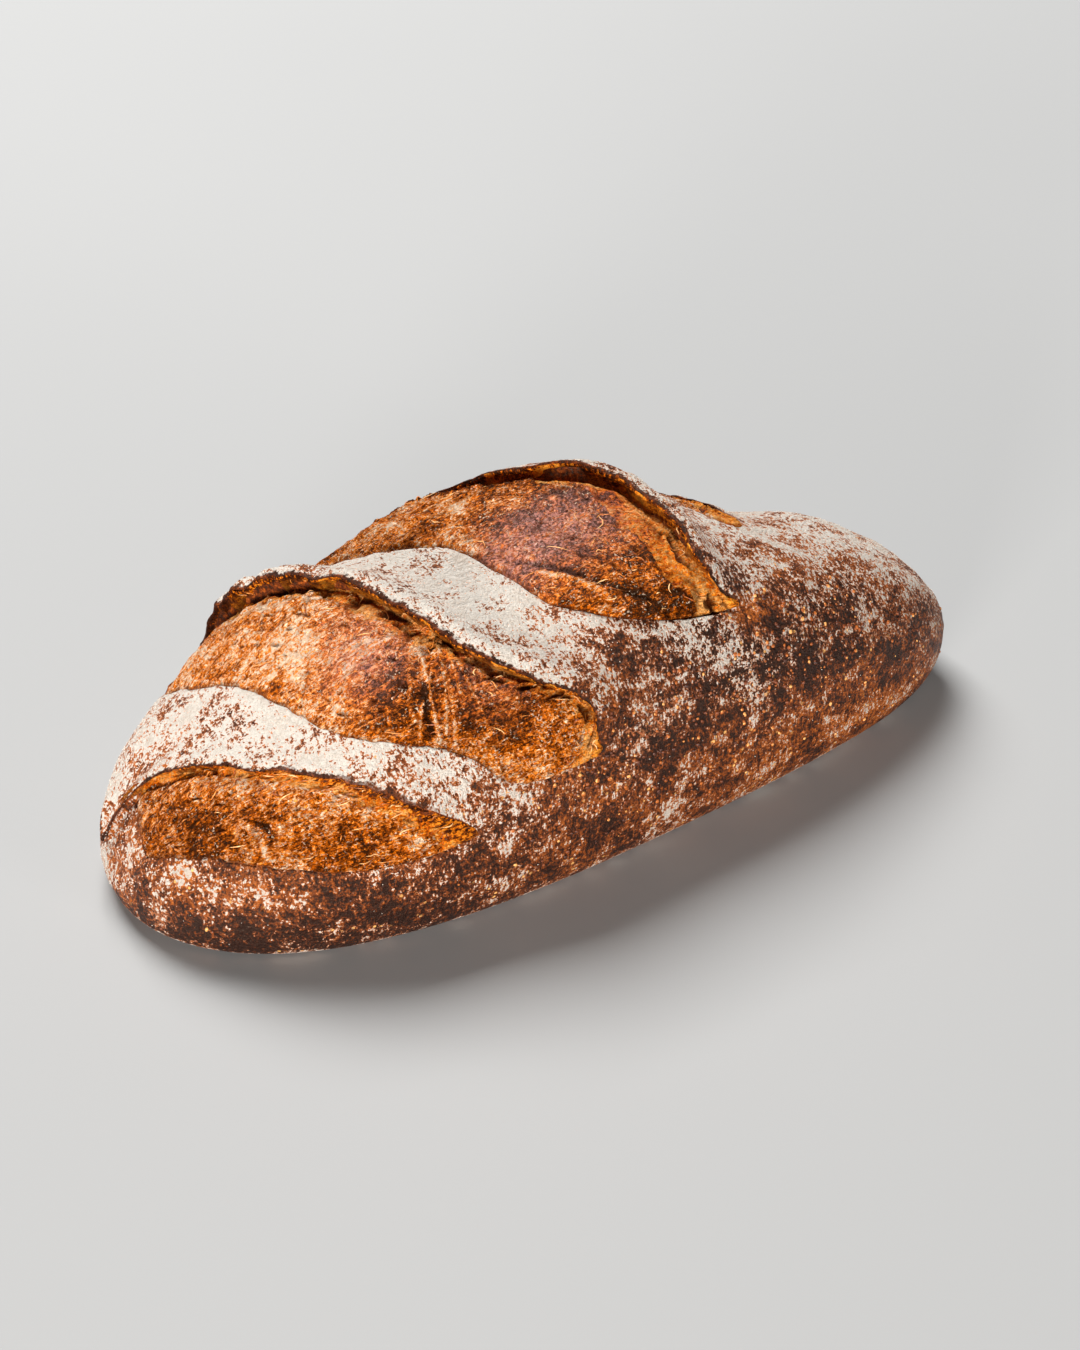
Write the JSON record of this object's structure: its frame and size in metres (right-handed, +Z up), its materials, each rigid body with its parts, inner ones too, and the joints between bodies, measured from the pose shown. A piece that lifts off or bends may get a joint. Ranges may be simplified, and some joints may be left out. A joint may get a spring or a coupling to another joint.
{
  "type": "sourdough loaf",
  "caption": "Long hearth-baked sourdough loaf with a floured crust, slanting slashes opened into golden crumb, and thin lifted ears.",
  "frame": {"origin": "on the flat underside, under the middle of the loaf's bounding box", "axes": "+X along the loaf from its wider end to its narrower end, +Y away from the side that the slashes open towards, +Z up"},
  "size_m": [0.3502, 0.1482, 0.115],
  "materials": {
    "crust": "baked red-brown crust, matt to satin, under a patchy dusting of flour",
    "torn_crumb": "golden to dark brown baked crumb, fibrous, with small glossy glints",
    "flour": "dry creamy white flour, fully matt"
  },
  "bodies": {
    "root": {"loaf": "crust"}
  },
  "joints": []
}
